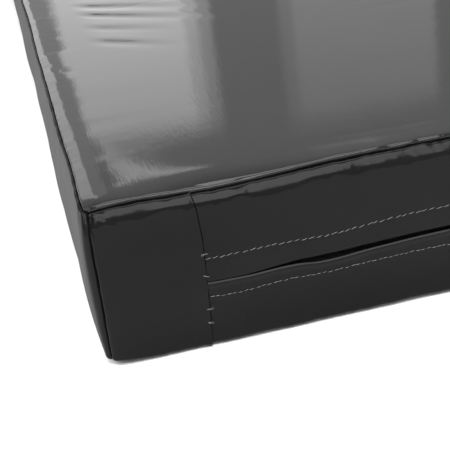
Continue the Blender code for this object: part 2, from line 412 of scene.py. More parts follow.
def foam(name, base, pore=420.0):
    m, nt, b = new_mat(name)
    L = nt.links
    b.inputs["Roughness"].default_value = 0.9
    b.inputs["Specular IOR Level"].default_value = 0.2
    v = node(nt, "ShaderNodeTexVoronoi", Scale=pore)
    L.new(coords(nt).outputs[0], v.inputs["Vector"])
    # colour darkens towards each cell's centre, where the bump dips: painted shade in the pores
    c = ramp(nt, v.outputs["Distance"], [(0.0, tuple(x * 0.55 for x in base)), (0.5, base)])
    L.new(c.outputs["Color"], b.inputs["Base Color"])
    bump = node(nt, "ShaderNodeBump", Strength=0.8, Distance=0.0006)
    L.new(v.outputs["Distance"], bump.inputs["Height"])
    L.new(bump.outputs["Normal"], b.inputs["Normal"])
    return m


def tape_mat(name, base=0.010):
    m, nt, b = new_mat(name)
    L = nt.links
    b.inputs["Roughness"].default_value = 0.85
    w = node(nt, "ShaderNodeTexWave", Scale=330.0, Distortion=0.3)
    w.bands_direction = "DIAGONAL"
    L.new(coords(nt).outputs[0], w.inputs["Vector"])
    # colour follows the same bands as the bump: painted shade in the hollows of the weave, lighter on its ridges
    c = ramp(nt, w.outputs["Fac"], [(0.1, base * 0.5), (0.9, base * 1.5)])
    L.new(c.outputs["Color"], b.inputs["Base Color"])
    bump = node(nt, "ShaderNodeBump", Strength=0.7, Distance=0.0002)
    L.new(w.outputs["Fac"], bump.inputs["Height"])
    L.new(bump.outputs["Normal"], b.inputs["Normal"])
    return m


VINYL = vinyl("vinyl_top", rough=0.065, ripple=0.000025)
# the side walls and the end wall use darker copies of the same vinyl (base 0.006 and 0.0034 against 0.008 on the top):
# painted shade on those faces
VINYL_SIDE = vinyl("vinyl_side", across="YZ", rough=0.2, level=0.0, coat=0.24, base=0.006)
VINYL_END = vinyl("vinyl_end", across="XZ", rough=0.17, level=0.12, base=0.0034, mid_bump=0.00005, patchy=0.45)
VINYL_STRIP = vinyl("vinyl_strip", across="XY", rough=0.14)
WEB = webbing("strap_webbing")
THREAD = thread("grey_thread")
THREAD_DARK = thread("dark_thread", base=0.05)
METAL = metal("zip_metal")
TAPE = tape_mat("zip_tape_cloth")
COIL = tape_mat("zip_coil_nylon", base=0.014)
FOAM_BASE = foam("foam_base_cells", (0.55, 0.52, 0.42))
FOAM_TOP = foam("foam_top_cells", (0.20, 0.22, 0.26), pore=900.0)


# ------------------------------------------------------------------ the cover's shape
# Height of the top front seam above its nominal line, along the outer end wall.
SEAM_S = np.array([0.0, 0.0036, 0.0188, 0.0464, 0.0764, 0.0992, 0.1536, 0.1876, 0.2219, 0.30])
SEAM_DZ = np.array([-0.0003, -0.0003, 0.0007, -0.0006, -0.0021, -0.0012, 0.0010, 0.0011, 0.0007, 0.0])


def seam_rise(x):
    s = np.asarray(x, float) + HX
    t = np.interp(s, SEAM_S, SEAM_DZ)
    # round the knots off
    t = (t + np.interp(s - 0.008, SEAM_S, SEAM_DZ) + np.interp(s + 0.008, SEAM_S, SEAM_DZ)) / 3
    far = smooth(0.25, 0.36, s)
    return t * (1 - far) + far * 0.0011 * fbm(s / 0.09, seed=5)


def drift(q):
    """The slow wander of the stuffed cover's edges, one field for every panel."""
    x, y, z = q[:, 0], q[:, 1], q[:, 2]
    out = np.zeros_like(q)
    e = np.hypot(np.maximum(y - Y0 - 0.006, 0) / 0.0125, (z - H) / 0.022)
    out[:, 2] += seam_rise(x) * np.exp(-e ** 1.5)
    # each vertical corner is drawn in where three seams meet
    for cx in (-HX, HX):
        for cy in (Y0, Y1):
            for cz in (H, 0.0):
                d = np.sqrt((x - cx) ** 2 + (y - cy) ** 2 + (z - cz) ** 2)
                k = (0.0022 if cz == H else 0.0034) * np.exp(-(d / 0.014) ** 2)
                pull = 0.7 if cz == H else 0.0
                out[:, 0] -= np.sign(cx) * k * pull
                out[:, 1] += (1 if cy == Y0 else -1) * k * pull
                out[:, 2] += (-1 if cz == H else 1.0) * k * 0.8
    near_x = np.exp(-(HX - np.abs(x)) / 0.05)
    out[:, 0] += 0.0011 * fbm(y / 0.12, z / 0.2, seed=11) * near_x
    near_y = np.exp(-np.minimum(y - Y0, Y1 - y) / 0.05)
    out[:, 1] += 0.0008 * fbm(x / 0.12, z / 0.2, seed=12) * near_y
    up = smooth(0.03, 0.09, z)
    near_f = np.exp(-np.maximum(y - Y0, 0) / 0.018)
    held = smooth(0.03, 0.15, Y1 - y)
    out[:, 2] += up * 0.0004 * fbm(x / 0.16, y / 0.16, seed=13) * np.maximum(near_x * held, near_f)
    return out


def groove(d, s, seed, depth=0.0034, width=0.0013, wander=1.0):
    w = width * (1 + wander * (0.20 * noise(s / 0.007, seed=seed) + 0.14 * noise(s / 0.0021, seed=seed + 1)))
    return -depth * np.exp(-(np.abs(d) / w) ** 1.5)


def pucker(d, s, seed, amp=0.00040, reach=0.007, fine=1.0):
    """Small gathers square to a seam, where the thread draws the cover in."""
    env = (1 - np.exp(-d / 0.0018)) * np.exp(-d / reach)
    g = noise(s / 0.0052, d / 0.05, seed=seed) * 0.6 + 0.5 * noise(s / 0.0115, d / 0.05, seed=seed + 3)
    g = g + fine * 0.35 * noise(s / 0.0027, d / 0.03, seed=seed + 5)
    long = np.exp(-d / 0.028) * (1 - np.exp(-d / 0.003)) * noise(s / 0.021, d / 0.2, seed=seed + 7)
    gate = 0.45 + 0.55 * smooth(-0.3, 0.6, noise(s / 0.06, seed=seed + 9))
    return amp * gate * (env * g + 0.8 * long)


_u = np.linspace(0, 4, 2001)
_slope = 0.80 * (1 - smooth(0.74, 1.34, _u)) + 0.09 * (1 - smooth(1.0, 3.4, _u))
_run = np.concatenate((np.cumsum(_slope[::-1])[::-1], [0.0]))[:-1]
_run = _run / _run[0]


def facet(e, s):
    """The strip below a top seam, held by its allowance: it slopes out, then turns down along a crisp line.
    One at the seam, zero at the wall's plane; e is the depth below the seam, s the way along it."""
    k = 1 + 0.15 * noise(s / 0.031, seed=641) + 0.09 * noise(s / 0.0085, seed=642)
    return np.interp(e / (0.0074 * k), _u, _run)


def rounded(P, face="wall"):
    """Places on the plain box moved to the stuffed one, with the ways the cover swells there."""
    lim = np.array([HX - R, HY - R])
    c = np.clip(P[:, :2], -lim, lim)
    d = P[:, :2] - c
    l = np.linalg.norm(d, axis=1) + 1e-12
    m = np.abs(d).max(axis=1)
    nh = d / l[:, None]
    q = P.copy()
    q[:, :2] = c + d * (m / l)[:, None]
    z = P[:, 2] + HZ
    e = H - z
    n = np.zeros_like(P)
    if face == "wall":
        n[:, :2] = nh
        n[:, 2] = np.interp(e, [0, 0.0025, 0.006, 0.009], [1.3333, 0.8, 0.72, 0.0]) - np.clip(1 - z / RB, 0, 1) ** 2
    else:
        w = (m / R) ** 2
        side, up, sgn = (0.6, 0.8, 1) if face == "top" else (0.7, 0.7, -1)
        n[:, :2] = nh * (w * side)[:, None]
        n[:, 2] = sgn * (1 - (1 - up) * w)
    n /= np.linalg.norm(n, axis=1)[:, None]
    x, y = q[:, 0].copy(), q[:, 1] + YC
    under = 0.0022 * np.clip(1 - z / RB, 0, 1) ** 2
    wx = smooth(0.040, 0.004, HX - np.abs(x))
    wf = smooth(0.040, 0.004, y - Y0)
    wb = smooth(0.040, 0.004, Y1 - y)
    q[:, 0] -= np.sign(x) * wx * (IX * facet(e, y) + under)
    q[:, 1] += wf * (IY * facet(e, x) + under) - wb * (IB * facet(e, x) + under)
    return q, n


def settle(q):
    """Back to the row frame, the underside flat on the floor."""
    q = q + np.array([0.0, YC, HZ])
    q = q + drift(q)
    low = np.exp(-np.maximum(q[:, 2], 0) / 0.004)
    along = q[:, 0] + 1.7 * q[:, 1]
    q[:, 2] += low * (0.00055 + 0.0006 * fbm(along / 0.016, seed=21) + 0.0003 * noise(along / 0.0045, seed=22))
    q[:, 2] = np.maximum(q[:, 2], 0.0003)
    return q


# Folds that run in from the side seams: place along the side, depth, reach from the seam.
PULLS = ((-0.345, 1.0, 0.21), (-0.398, 1.0, 0.22), (-0.468, 0.7, 0.17), (-0.540, 0.75, 0.16), (-0.285, 0.8, 0.20),
         (-0.212, 0.9, 0.22), (-0.150, 0.6, 0.17))


def top_height(x, y):
    """The cover's swell above the rounded box on the top panel; x, y are row-frame places."""
    dl, dr = x + HX, HX - x
    df, db = y - Y0, Y1 - y
    h = np.zeros_like(x)
    for d, s, seed, fine in ((df, x, 101, 1.0), (dl, y, 131, 0.6), (dr, y, 161, 0.6), (db, x, 191, 0.3)):
        h += groove(d, s, seed, wander=0.3 if seed in (131, 161) else 1.0)
        h += pucker(d, s, seed + 11, amp=0.00034 if seed != 131 else 0.00020, fine=fine)
    edge = np.minimum(np.minimum(dl, dr), np.minimum(df, np.maximum(db - 0.033, 0)))
    h += 0.00135 * (1 - np.exp(-edge / 0.006)) + 0.00025 * (1 - np.exp(-edge / 0.030))
    for d in (dl, dr):
        h -= 0.0011 * np.exp(-d / 0.009) * (1 + 0.10 * noise(y / 0.09, seed=207)) * smooth(0.0, 0.004, d)
    # slow unevenness of the foam below
    h += 0.00016 * fbm(x / 0.21, y / 0.24, seed=201, octaves=2) * smooth(0.02, 0.10, db)
    # drag lines running in from the side seams
    for d, seed in ((dl, 211), (dr, 221)):
        for k, (y0, size, reach) in enumerate(PULLS):
            across = y - y0 + (0.93 if seed == 211 else 0.80) * (d - 0.095) + 0.010 * noise(d / 0.06, seed=seed + k)
            t = across / (0.0150 + 0.045 * np.maximum(d - 0.06, 0))
            env = smooth(0.045, 0.068, d) * (1 - smooth(0.070, reach - 0.03, d))
            h += size * 0.0017 * env * (t * np.exp(-t * t) - 0.22 * np.exp(-(t / 1.8) ** 2))
        # gathers close to the seam
        near = np.exp(-((d - 0.013) / 0.010) ** 2)
        gate = 0.15 + 0.85 * smooth(-0.74, -0.56, y)
        h += 0.00026 * near * gate * smooth(0.0, 0.5, noise(y / 0.021, d / 0.03, seed=seed + 4))
        h += 0.00006 * near * noise(y / 0.041, d / 0.1, seed=seed + 6)
    # long faint creases across the middle
    mask = smooth(-0.1, 0.5, noise(x / 0.22, y / 0.16, seed=231))
    crease = (1 - np.abs(noise(x / 0.24, y / 0.026 + 0.5 * noise(x / 0.3, y / 0.3, seed=232), seed=233))) ** 7
    h += -0.00038 * mask * crease
    return h


def top_panel():
    def sx(x):
        e = HX - np.abs(x)
        near = 0.0017 + 0.0030 * smooth(-0.40, -0.20, x)
        return np.minimum(0.00042 + 0.12 * np.maximum(e - 0.003, 0), near)

    def sy(y):
        e = np.minimum(y - Y0, Y1 - y)
        near = 0.0022 + 0.0020 * smooth(-0.78, -0.5, y)
        return np.minimum(0.00042 + 0.12 * np.maximum(e - 0.003, 0), near)

    xs, ys = graded(-HX, HX, sx), graded(Y0, Y1, sy)
    A, B = np.meshgrid(xs, ys, indexing="ij")
    P = np.stack((A.ravel(), B.ravel() - YC, np.full(A.size, HZ)), axis=1)
    q, n = rounded(P, "top")
    h = top_height(A.ravel(), B.ravel())
    q = settle(q + n * h[:, None])
    # nothing on the top stands higher than the fold's axis, so that the folded halves lie on each other
    over = q[:, 2] - 0.1015
    q[:, 2] = np.where(over > 0, 0.1015 + 0.00038 * np.tanh(over / 0.00038), q[:, 2])
    return q, grid_faces(len(xs), len(ys))


def bottom_panel():
    def s(c, lo, hi):
        return lambda v: np.minimum(0.0005 + 0.15 * np.maximum(np.minimum(v - lo, hi - v) - 0.003, 0), 0.02)

    xs, ys = graded(-HX, HX, s(0, -HX, HX)), graded(Y0, Y1, s(0, Y0, Y1))
    A, B = np.meshgrid(xs, ys, indexing="ij")
    P = np.stack((A.ravel(), B.ravel() - YC, np.full(A.size, -HZ)), axis=1)
    q, n = rounded(P, "bottom")
    a, b = A.ravel(), B.ravel()
    h = np.zeros_like(a)
    for d, t, seed in ((b - Y0, a, 301), (a + HX, b, 311), (HX - a, b, 321), (Y1 - b, a, 331)):
        h += groove(d, t, seed, depth=0.0010, width=0.0010)
    q = settle(q + n * h[:, None])
    return q, grid_faces(len(xs), len(ys), flip=True)


def wall_swell(s, z, seed, amount, edge, rise=0.025):
    """Bulge of a side wall between its top and bottom seams; edge is the way to its nearer end."""
    t = np.clip(z / H, 0, 1)
    body = np.sin(math.pi * t ** 0.9) ** 0.8
    wave = 1 + 0.30 * fbm(s / 0.11, z / 0.2, seed=seed) + 0.12 * noise(s / 0.035, z / 0.06, seed=seed + 1)
    return amount * body * wave * (1 - np.exp(-edge / rise))


def side_wall(left=True):
    sgn = -1 if left else 1

    def sy(y):
        e = np.minimum(y - Y0, Y1 - y)
        near = 0.0028 + 0.0022 * smooth(-0.8, -0.5, y)
        return np.minimum(0.00045 + 0.12 * np.maximum(e - 0.003, 0), near)

    def sz(z):
        e = np.minimum(z, H - z)
        return np.minimum(0.00045 + 0.12 * np.maximum(e - 0.003, 0), 0.003)

    ys, zs = graded(Y0, Y1, sy), graded(0, H, sz)
    A, B = np.meshgrid(ys, zs, indexing="ij")
    a, b = A.ravel(), B.ravel()
    P = np.stack((np.full(a.size, sgn * HX), a - YC, b - HZ), axis=1)
    q, n = rounded(P)
    seed = 400 if left else 450
    h = np.zeros_like(a)
    for d, t, sd, dep, wid in ((H - b, a, seed + 1, 0.0034, 0.0013), (b, a, seed + 5, 0.0010, 0.0010),
                               (a - Y0, b, seed + 9, 0.0032, 0.0014), (Y1 - a, b, seed + 13, 0.0032, 0.0014)):
        h += groove(d, t, sd, depth=dep, width=wid)
        h += pucker(d, t, sd + 20, amp=0.00045, fine=0.8)
    e = np.minimum(a - Y0, Y1 - a)
    h += wall_swell(a, b, seed + 50, 0.0056, e, rise=0.011)
    # upright drag lines below the top seam
    lines = (1 - np.abs(noise(a / 0.03, b / 0.25, seed=seed + 60))) ** 4
    h += -0.0006 * lines * smooth(0.02, 0.09, b) * smooth(0.0, 0.05, e)
    q = settle(q + n * h[:, None])
    return q, grid_faces(len(ys), len(zs), flip=left)


def hinge_wall():
    def sx(x):
        return np.minimum(0.0006 + 0.12 * np.maximum(HX - np.abs(x) - 0.003, 0), 0.010)

    def sz(z):
        e = np.minimum(z, H - z)
        return np.minimum(0.0006 + 0.12 * np.maximum(e - 0.003, 0), 0.005)

    xs, zs = graded(-HX, HX, sx), graded(0, H, sz)
    A, B = np.meshgrid(xs, zs, indexing="ij")
    a, b = A.ravel(), B.ravel()
    P = np.stack((a, np.full(a.size, HY), b - HZ), axis=1)
    q, n = rounded(P)
    h = np.zeros_like(a)
    for d, t, sd, dep, wid in ((H - b, a, 501, 0.0034, 0.0013), (b, a, 505, 0.0010, 0.0010),
                               (a + HX, b, 509, 0.0032, 0.0014), (HX - a, b, 513, 0.0032, 0.0014)):
        h += groove(d, t, sd, depth=dep, width=wid)
        h += pucker(d, t, sd + 20, amp=0.0003, fine=0.0)
    h += wall_swell(a, b, 550, 0.0012, HX - np.abs(a))
    q = settle(q + n * h[:, None])
    q[:, 1] = np.minimum(q[:, 1], -0.0012)
    return q, grid_faces(len(xs), len(zs), flip=True)


# --- outer end wall
def lap_x(z, left=True):
    """Where the end piece's folded edge lies over the zip panel."""
    s = np.interp(z, [0.0, 0.0027, 0.0431, 0.0550, 0.0693, 0.0910, 0.1], [0.0622, 0.0624, 0.0642, 0.0645, 0.0651, 0.0641, 0.0628])
    return -HX + s if left else HX - s


def end_swell(x, z):
    """Swell of the end wall before seams; shared by every piece of it."""
    h = wall_swell(x, z, 600, 0.0024, HX - np.abs(x))
    s = x + HX
    h = h + 0.00075 * fbm(x / 0.075, z / 0.06, seed=611)
    h = h + 0.00012 * noise(x / 0.016, z / 0.022, seed=613)
    # short drag lines fanning out from the top corners
    for cx in (-HX, HX):
        dx, dz = np.abs(x - cx), H - z
        rr = np.hypot(dx, dz)
        fan = (1 - np.abs(noise(np.arctan2(dz, dx + 1e-6) / 0.20, rr / 0.05, seed=617))) ** 5
        h = h - 0.00055 * fan * np.exp(-((rr - 0.017) / 0.012) ** 2)
    return h


def end_seams(x, z, seed, pk=0.00050):
    h = groove(H - z, x, seed + 1)
    h = h + pucker(H - z, x, seed + 20, amp=pk, reach=0.0075)
    crest = (H - z) - 0.0074 * (1 + 0.15 * noise(x / 0.031, seed=641) + 0.09 * noise(x / 0.0085, seed=642))
    h = h + 0.00042 * np.exp(-(crest / 0.0022) ** 2) * (0.6 * noise(x / 0.0042, seed=651) + 0.5 * noise(x / 0.0115, seed=652) + 0.25 * noise(x / 0.0021, seed=653))
    h = h + groove(z, x, seed + 5, depth=0.0010, width=0.0010) + pucker(z, x, seed + 40, amp=0.0003, fine=0.4)
    for d, sd in ((x + HX, 9), (HX - x, 13)):
        h = h + groove(d, z, seed + sd, depth=0.0032, width=0.0014)
        h = h + pucker(d, z, seed + sd + 60, amp=0.00034, fine=0.6)
    return h


def end_place(x, z, extra):
    P = np.stack((x, np.full(x.size, -HY), z - HZ), axis=1)
    q, n = rounded(P)
    h = end_swell(x, z) + end_seams(x, z, 620) + extra
    return settle(q + n * h[:, None])


def end_piece(left=True):
    def su(u):
        return np.minimum(0.00045 + 0.12 * np.maximum(np.minimum(u, PATCH - u) - 0.0025, 0), 0.0018)

    def sz(z):
        e = np.minimum(z, H - z)
        return np.minimum(0.00040 + 0.10 * np.maximum(e - 0.003, 0), 0.0017)

    us, zs = graded(0, PATCH, su), graded(0, H, sz)
    # the folded hem: a few more columns that turn round the edge and go back under it
    hem = 7
    A, B = np.meshgrid(us / PATCH, zs, indexing="ij")
    z = B.ravel()
    lx = lap_x(z, left)
    edge0 = -HX if left else HX
    x = edge0 + (lx - edge0) * A.ravel()
    d = np.abs(lx - x)
    proud = 0.0008 * np.exp(-d / 0.006) + 0.0003 * np.exp(-(d / 0.0018) ** 2)
    proud += 0.00035 * noise(z / 0.006, d / 0.02, seed=660) * np.exp(-d / 0.005)
    q = end_place(x, z, proud)
    nu, nv = len(us), len(zs)
    grid = q.reshape(nu, nv, 3)
    rim = grid[-1]
    toward = 1.0 if left else -1.0
    rows = []
    for k in range(1, hem + 1):
        a = math.pi * k / hem
        rr = 0.00075
        off = np.zeros_like(rim)
        off[:, 0] = toward * rr * math.sin(a)
        off[:, 1] = rr * (1 - math.cos(a)) * 1.2
        rows.append(rim + off)
    grid = np.concatenate((grid, np.stack(rows)), axis=0)
    return grid.reshape(-1, 3), grid_faces(grid.shape[0], nv, flip=not left)


LIP_S = np.array([0.060, 0.0643, 0.0911, 0.1093, 0.1234, 0.1269, 0.1339, 0.1446, 0.1519, 0.1652, 0.190, 0.2162, 0.26])
LIP_Z = np.array([0.0430, 0.0430, 0.0424, 0.0433, 0.0429, 0.0421, 0.0414, 0.0415, 0.0421, 0.0429, 0.0437, 0.0444, 0.0425])
GAP_S = np.array([0.060, 0.070, 0.0914, 0.110, 0.126, 0.135, 0.150, 0.166, 0.218, 0.26])
GAP_H = np.array([0.0001, 0.0002, 0.0008, 0.0014, 0.0028, 0.0040, 0.0036, 0.0029, 0.0023, 0.0020])


def lip_low(x):
    s = np.asarray(x, float) + HX
    near = (np.interp(s, LIP_S, LIP_Z) + np.interp(s - 0.003, LIP_S, LIP_Z) + np.interp(s + 0.003, LIP_S, LIP_Z)) / 3
    wander = 0.0406 + 0.0005 * fbm(s / 0.07, seed=701)
    f = smooth(0.24, 0.32, s)
    return near * (1 - f) + wander * f


def slit_gap(x):
    s = np.asarray(x, float) + HX
    near = (np.interp(s, GAP_S, GAP_H) + np.interp(s - 0.004, GAP_S, GAP_H) + np.interp(s + 0.004, GAP_S, GAP_H)) / 3
    far_s = 2 * HX - s
    wander = 0.0021 + 0.0007 * fbm(s / 0.09, seed=711)
    f = smooth(0.24, 0.32, s)
    g = near * (1 - f) + wander * f
    return g * smooth(PATCH, PATCH + 0.02, far_s) + 0.0002


UP_S = np.array([0.06, 0.0658, 0.0777, 0.0897, 0.1019, 0.114, 0.1262, 0.1384, 0.1507, 0.1633, 0.1758, 0.1885, 0.2011, 0.2138, 0.27])
UP_Z = np.array([0.0582, 0.0581, 0.0579, 0.0580, 0.0584, 0.0582, 0.0576, 0.0570, 0.0575, 0.0585, 0.0590, 0.0594, 0.0596, 0.0595, 0.0580])
LOW_S = np.array([0.06, 0.0654, 0.0775, 0.0896, 0.1021, 0.1144, 0.1268, 0.1392, 0.1518, 0.1645, 0.1772, 0.1899, 0.2028, 0.27])
LOW_Z = np.array([0.0340, 0.0338, 0.0328, 0.0330, 0.0340, 0.0344, 0.0337, 0.0335, 0.0340, 0.0344, 0.0345, 0.0347, 0.0346, 0.0335])


def row_up(x):
    s = np.asarray(x, float) + HX
    f = smooth(0.24, 0.32, s)
    return np.interp(s, UP_S, UP_Z) * (1 - f) + f * (ROW_UP + 0.0005 * fbm(s / 0.05, seed=721))


def row_low(x):
    s = np.asarray(x, float) + HX
    f = smooth(0.24, 0.32, s)
    return np.interp(s, LOW_S, LOW_Z) * (1 - f) + f * (ROW_LOW + 0.0005 * fbm(s / 0.05, seed=731))


def panel_extra(x, z):
    """The zip panel lies a little behind the end pieces' hems, and its stitch rows are drawn in."""
    dl = x - lap_x(z, True)
    dr = lap_x(z, False) - x
    d = np.minimum(dl, dr)
    h = -0.0007 * np.exp(-np.maximum(d, 0) / 0.0045) - 0.0006 * np.exp(-np.maximum(d, 0) / 0.0012)
    for row, seed in ((row_up(x), 741), (row_low(x), 745)):
        e = (z - row) / 0.0022
        h = h - 0.00038 * np.exp(-e ** 2)
        h = h + 0.00010 * noise(x / 0.0045, seed=seed) * np.exp(-((z - row) / 0.004) ** 2)
    # the cover stands off the zip between the rows
    mid = (z - ZIP_Z) / 0.011
    h = h + 0.0010 * np.exp(-mid ** 2)
    return h


def band_x():
    def sx(x):
        e = (HX - PATCH) - np.abs(x)
        near = 0.0015 + 0.0030 * smooth(-0.36, -0.2, x)
        return np.minimum(0.0007 + 0.12 * np.maximum(e, 0), near)
    lim = HX - PATCH + 0.0045
    return graded(-lim, lim, sx)


def zip_panel_upper():
    """Upper band and, below the stitch row, the free flap: one sheet with a turned lower edge."""
    xs = band_x()

    def st(t):
        return np.minimum(0.0055 + 0.1 * np.maximum(np.minimum(t, 1 - t) - 0.04, 0), 0.025)

    ts = graded(0, 1, st)
    X, T = np.meshgrid(xs, ts, indexing="ij")
    x, t = X.ravel(), T.ravel()
    low = lip_low(x) + slit_gap(x)
    z = H + (low - H) * t
    above = z - low
    curl = -0.0005 * np.exp(-(above / 0.0012) ** 2)
    lift = -0.0006 * np.exp(-(above / 0.004)) * smooth(0.0004, 0.003, slit_gap(x))
    q = end_place(x, z, panel_extra(x, z) + curl + lift)
    nu, nv = len(xs), len(ts)
    g = q.reshape(nu, nv, 3)
    rim = g[:, -1]
    rows = []
    for k in range(1, 6):
        a = math.pi * k / 5
        off = np.zeros_like(rim)
        off[:, 2] = -0.00045 * math.sin(a)
        off[:, 1] = 0.0005 * (1 - math.cos(a))
        rows.append(rim + off)
    back = rim.copy()
    back[:, 1] += 0.0010
    back[:, 2] += 0.0100
    rows.append(back)
    g = np.concatenate((g, np.stack(rows, axis=1)), axis=1)
    return g.reshape(-1, 3), grid_faces(nu, g.shape[1], flip=True)


def zip_panel_lower():
    xs = band_x()

    def st(t):
        return np.minimum(0.010 + 0.1 * np.maximum(np.minimum(t, 1 - t) - 0.06, 0), 0.018)

    ts = graded(0, 1, st)
    X, T = np.meshgrid(xs, ts, indexing="ij")
    x, t = X.ravel(), T.ravel()
    top = lip_low(x)
    z = top * t
    below = top - z
    lip = 0.0007 * np.exp(-((below - 0.0010) / 0.0022) ** 2) - 0.0004 * np.exp(-((below - 0.006) / 0.003) ** 2)
    lip = lip - 0.0007 * np.clip(1 - below / 0.0007, 0, 1) ** 1.3
    q = end_place(x, z, panel_extra(x, z) + lip)
    nu, nv = len(xs), len(ts)
    g = q.reshape(nu, nv, 3)
    rim = g[:, -1]
    rows = []
    for k in range(1, 6):
        a = math.pi * k / 5
        off = np.zeros_like(rim)
        off[:, 2] = 0.00030 * math.sin(a)
        off[:, 1] = 0.0006 * (1 - math.cos(a))
        rows.append(rim + off)
    back = rim.copy()
    back[:, 1] += 0.0012
    back[:, 2] -= 0.0080
    rows.append(back)
    g = np.concatenate((g, np.stack(rows, axis=1)), axis=1)
    return g.reshape(-1, 3), grid_faces(nu, g.shape[1], flip=False)


# ------------------------------------------------------------------ build the covers
def dress(objs, nodes, body="section"):
    for ob, tag in zip(objs, ("a", "b")):
        if body:
            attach(ob, f"{body}_{tag}")
        if nodes:
            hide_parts(*[f"{n}_{tag}" for n in nodes])
    return objs


V, F = top_panel()
top_objs = dress(both("top_cover", V, F, VINYL), ["top_panel"])
V, F = bottom_panel()
dress(both("bottom_cover", V, F, VINYL), ["bottom_panel"])
V, F = side_wall(True)
dress(both("side_cover_left", V, F, VINYL_SIDE), ["side_wall_left"])
V, F = side_wall(False)
dress(both("side_cover_right", V, F, VINYL_SIDE), ["side_wall_right"])
V, F = hinge_wall()
dress(both("fold_cover", V, F, VINYL_END), ["hinge_wall"])
V, F = end_piece(True)
dress(both("end_cover_left", V, F, VINYL_END), ["end_piece_left"])
V, F = end_piece(False)
dress(both("end_cover_right", V, F, VINYL_END), ["end_piece_right"])
V, F = zip_panel_lower()
dress(both("zip_cover_lower", V, F, VINYL_END), ["zip_band_lower"])
V, F = zip_panel_upper()
for ob, tag, s in zip(both("zip_cover_upper", V, F, VINYL_END), "ab", (1, -1)):
    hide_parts("zip_band_upper_" + tag, "zip_flap_" + tag)
    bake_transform(ob)


def foam_block(x0, x1, y0, y1, z0, z1, r, seed):
    """A foam layer with cut, slightly rounded edges, well inside the cover."""
    n = 9
    half = np.array([(x1 - x0) / 2, (y1 - y0) / 2, (z1 - z0) / 2])
    mid = np.array([(x0 + x1) / 2, (y0 + y1) / 2, (z0 + z1) / 2])
    heap = Heap()
    for ax in range(3):
        for sg in (-1, 1):
            o = [k for k in range(3) if k != ax]
            us = [graded(-half[k], half[k], lambda v, k=k: np.minimum(r * 0.35 + 0.2 * np.maximum(half[k] - np.abs(v) - r, 0), 0.05)) for k in o]
            A, B = np.meshgrid(us[0], us[1], indexing="ij")
            P = np.zeros((A.size, 3))
            P[:, o[0]], P[:, o[1]], P[:, ax] = A.ravel(), B.ravel(), sg * half[ax]
            c = np.clip(P, -(half - r), half - r)
            d = P - c
            d /= np.linalg.norm(d, axis=1)[:, None]
            q = c + r * d + mid
            flip = (sg > 0) == (ax == 1)
            heap.put(q, grid_faces(len(us[0]), len(us[1]), flip=flip))
    return heap.arrays()


for nm, mat, z0, z1, sl in (("foam_base_block", FOAM_BASE, 0.0025, 0.0705, "foam_base"),
                            ("foam_top_block", FOAM_TOP, 0.0711, 0.0960, "foam_top")):
    V, F = foam_block(-0.6035, 0.6035, -0.9020, -0.0080, z0, z1, 0.003, 5)
    for ob, tag in zip(both(nm, V, F, mat), "ab"):
        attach(ob, "section_" + tag)
        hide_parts(sl + "_" + tag)


# ------------------------------------------------------------------ stitch rows
def wall_point(x, z):
    """Where the end wall's cover lies, for rows sewn on it."""
    x, z = np.atleast_1d(x).astype(float), np.atleast_1d(z).astype(float)
    return end_place(x, z, panel_extra(x, z))


def stitch_row(heap, x0, x1, row, pitch, seed, radius=0.00018, duty=0.80, slant=0.00042):
    n = int((x1 - x0) / pitch)
    k = np.arange(n)
    start = x0 + k * pitch + 0.16 * pitch * noise(k * 0.73, seed=seed)
    for i in range(n):
        length = pitch * (duty + 0.08 * math.sin(i * 1.7 + seed))
        u = np.linspace(0, 1, 6)
        xs = start[i] + length * u
        zs = row(xs) + slant * (u - 0.5) * 2 + 0.0002 * math.sin(i * 2.3)
        p = wall_point(xs, zs)
        p[:, 1] -= 0.00012 + (0.00016 + 0.00008 * math.sin(5.1 * i + seed)) * np.sin(math.pi * u)
        rad = radius * np.sqrt(np.clip(1 - (2 * u - 1) ** 4, 0.05, 1))
        v, f = tube(p, rad, sides=6, normal=(0, -1, 0))
        heap.put(v, f)


up = Heap()
lim = HX - PATCH - 0.0022
stitch_row(up, -lim, lim, row_up, 0.00447, 3)
lo = Heap()
stitch_row(lo, -lim, lim, row_low, 0.00345, 9, radius=0.00016, slant=0.00015)
for nm, hp in (("stitches_upper", up), ("stitches_lower", lo)):
    V, F = hp.arrays()
    for ob, tag in zip(both(nm, V, F, THREAD), "ab"):
        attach(ob, "section_" + tag)


# short thread ends along the folded edge of the left end piece
tails = Heap()
for z0, ln, up_, k in ((0.0622, 0.0040, 0.0008, 0), (0.0484, 0.0036, -0.0006, 1), (0.0272, 0.0042, 0.0007, 2),
                       (0.0180, 0.0034, -0.0008, 3)):
    for j in range(2):
        u = np.linspace(0, 1, 7)
        zz = z0 + 0.00055 * (j - 1) + up_ * (u - 0.5) + 0.00035 * np.sin(3.1 * u + k + j)
        xx = lap_x(zz, True) - 0.0011 + ln * u * (1 - 0.18 * j)
        pt = end_place(xx, zz, np.full(xx.size, 0.0011))
        pt[:, 1] -= 0.00035 + 0.0005 * np.sin(math.pi * u) * (1 + 0.4 * math.sin(k + 2 * j))
        v, f = tube(pt, 0.00012 * (1 - 0.35 * u), sides=5, normal=(0, -1, 0))
        tails.put(v, f)
V, F = tails.arrays()
for ob, tag in zip(both("thread_tails", V, F, THREAD), "ab"):
    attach(ob, "section_" + tag)


# ------------------------------------------------------------------ hinge strip over the fold
def top_z(x, y):
    """Height of the stuffed top of either section."""
    s = np.where(y > 0, -1.0, 1.0)
    a, b = x * s, y * s
    P = np.stack((a, b - YC, np.full(a.size, HZ)), axis=1)
    q, n = rounded(P, "top")
    return settle(q + n * top_height(a, b)[:, None])[:, 2]


